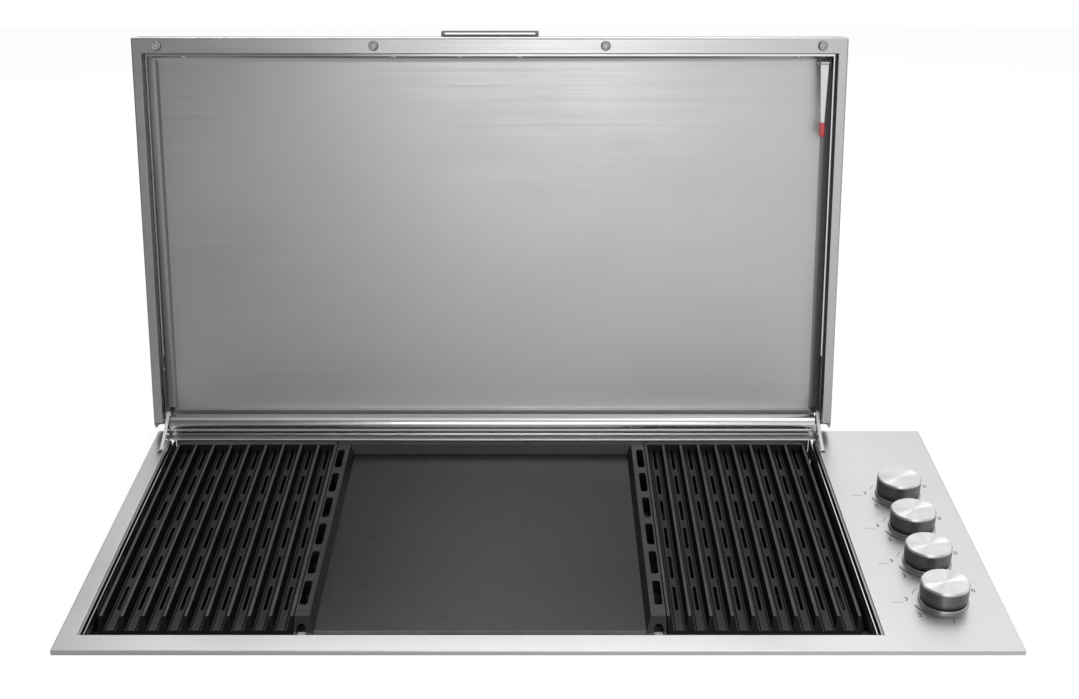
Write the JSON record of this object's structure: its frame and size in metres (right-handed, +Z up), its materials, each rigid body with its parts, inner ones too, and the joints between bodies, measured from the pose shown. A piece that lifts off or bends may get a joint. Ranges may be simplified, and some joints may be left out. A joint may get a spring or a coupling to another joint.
{
  "type": "built-in gas grill",
  "caption": "Drop-in gas grill with a hinged lid, two slotted cast grills, a griddle plate between them, tube burners, a drip tray and push-and-turn knobs on a side panel.",
  "frame": {"origin": "middle of the front hem's underside, where the fascia bears on the worktop; the worktop surface is z = 0", "axes": "+X to the right as the cook faces the grill, +Y away from the cook, +Z up"},
  "size_m": [1.03, 0.6188, 0.67],
  "materials": {
    "brushed_steel": "brushed",
    "liner_steel": "satin",
    "polished_steel": "polished",
    "cast_iron_enamel": "matt enamel",
    "galvanised_sheet": "galvanised",
    "burner_steel": "mill finish",
    "brass": "turned",
    "turned_metal": "spun satin top",
    "grey_rubber": "matt",
    "red_silicone": "matt",
    "black_plastic": "matt"
  },
  "bodies": {
    "grill_body": {"fascia_plate": "brushed_steel", "firebox_front": "galvanised_sheet", "firebox_rear": "galvanised_sheet", "firebox_left": "galvanised_sheet", "firebox_right": "galvanised_sheet", "control_housing": "galvanised_sheet", "gas_manifold": "galvanised_sheet", "gas_inlet_fitting": "brass", "igniter": "black_plastic", "burner_1": "burner_steel", "burner_2": "burner_steel", "burner_3": "burner_steel", "burner_4": "burner_steel", "flame_tamer_1": "burner_steel", "flame_tamer_2": "burner_steel", "flame_tamer_3": "burner_steel", "flame_tamer_4": "burner_steel", "valve_body_1": "brass", "valve_body_2": "brass", "valve_body_3": "brass", "valve_body_4": "brass", "knob_bezel_1": "polished_steel", "knob_bezel_2": "polished_steel", "knob_bezel_3": "polished_steel", "knob_bezel_4": "polished_steel", "rear_deflector": "brushed_steel", "hinge_bracket_left": "polished_steel", "hinge_bracket_right": "polished_steel", "hinge_pin_left": "polished_steel", "hinge_pin_right": "polished_steel"},
    "lid": {"lid_skin": "brushed_steel", "lid_liner": "liner_steel", "lid_arm_left": "galvanised_sheet", "lid_arm_right": "galvanised_sheet", "lid_bumper_1": "grey_rubber", "lid_bumper_2": "grey_rubber", "lid_bumper_3": "grey_rubber", "lid_bumper_4": "grey_rubber", "lid_handle": "polished_steel", "prop_bracket": "polished_steel", "prop_pin": "polished_steel"},
    "prop": {"prop_arm": "polished_steel", "prop_sleeve": "red_silicone"},
    "left_grill": {"grill_left": "cast_iron_enamel"},
    "right_grill": {"grill_right": "cast_iron_enamel"},
    "griddle": {"griddle_plate": "cast_iron_enamel"},
    "tray": {"drip_tray": "galvanised_sheet"},
    "valve_1": {"valve_plug_1": "brass"},
    "valve_2": {"valve_plug_2": "brass"},
    "valve_3": {"valve_plug_3": "brass"},
    "valve_4": {"valve_plug_4": "brass"},
    "control_1": {"valve_stem_1": "polished_steel", "knob_1": "turned_metal"},
    "control_2": {"valve_stem_2": "polished_steel", "knob_2": "turned_metal"},
    "control_3": {"valve_stem_3": "polished_steel", "knob_3": "turned_metal"},
    "control_4": {"valve_stem_4": "polished_steel", "knob_4": "turned_metal"}
  },
  "joints": [
    {"name": "lid_hinge", "type": "hinge", "parent": "grill_body", "child": "lid", "pos_m": [-0.0615, 0.4924, 0.0294], "axis": [-1, 0, 0], "range_deg": [-101.3, 0]},
    {"name": "prop_hinge", "type": "hinge", "parent": "lid", "child": "prop", "pos_m": [0.3655, 0.57957, 0.48862], "axis": [-1, 0, 0], "range_deg": [0, 90]},
    {"name": "left_grill_lift", "type": "slide", "parent": "grill_body", "child": "left_grill", "axis": [0, 0, 1], "range_m": [0, 0.1]},
    {"name": "right_grill_lift", "type": "slide", "parent": "grill_body", "child": "right_grill", "axis": [0, 0, 1], "range_m": [0, 0.1]},
    {"name": "griddle_lift", "type": "slide", "parent": "grill_body", "child": "griddle", "axis": [0, 0, 1], "range_m": [0, 0.1]},
    {"name": "tray_slide", "type": "slide", "parent": "grill_body", "child": "tray", "axis": [0, -1, 0], "range_m": [0, 0.3]},
    {"name": "knob_turn_1", "type": "hinge", "parent": "grill_body", "child": "valve_1", "pos_m": [0.45, 0.087, 0.03], "axis": [0, 0, 1], "range_deg": [0, 160]},
    {"name": "knob_turn_2", "type": "hinge", "parent": "grill_body", "child": "valve_2", "pos_m": [0.45, 0.165, 0.03], "axis": [0, 0, 1], "range_deg": [0, 160]},
    {"name": "knob_turn_3", "type": "hinge", "parent": "grill_body", "child": "valve_3", "pos_m": [0.45, 0.243, 0.03], "axis": [0, 0, 1], "range_deg": [0, 160]},
    {"name": "knob_turn_4", "type": "hinge", "parent": "grill_body", "child": "valve_4", "pos_m": [0.45, 0.321, 0.03], "axis": [0, 0, 1], "range_deg": [0, 160]},
    {"name": "knob_push_1", "type": "slide", "parent": "valve_1", "child": "control_1", "axis": [0, 0, -1], "range_m": [0, 0.0025], "stiffness_N_per_m": 1500, "springref_m": -0.003},
    {"name": "knob_push_2", "type": "slide", "parent": "valve_2", "child": "control_2", "axis": [0, 0, -1], "range_m": [0, 0.0025], "stiffness_N_per_m": 1500, "springref_m": -0.003},
    {"name": "knob_push_3", "type": "slide", "parent": "valve_3", "child": "control_3", "axis": [0, 0, -1], "range_m": [0, 0.0025], "stiffness_N_per_m": 1500, "springref_m": -0.003},
    {"name": "knob_push_4", "type": "slide", "parent": "valve_4", "child": "control_4", "axis": [0, 0, -1], "range_m": [0, 0.0025], "stiffness_N_per_m": 1500, "springref_m": -0.003}
  ]
}
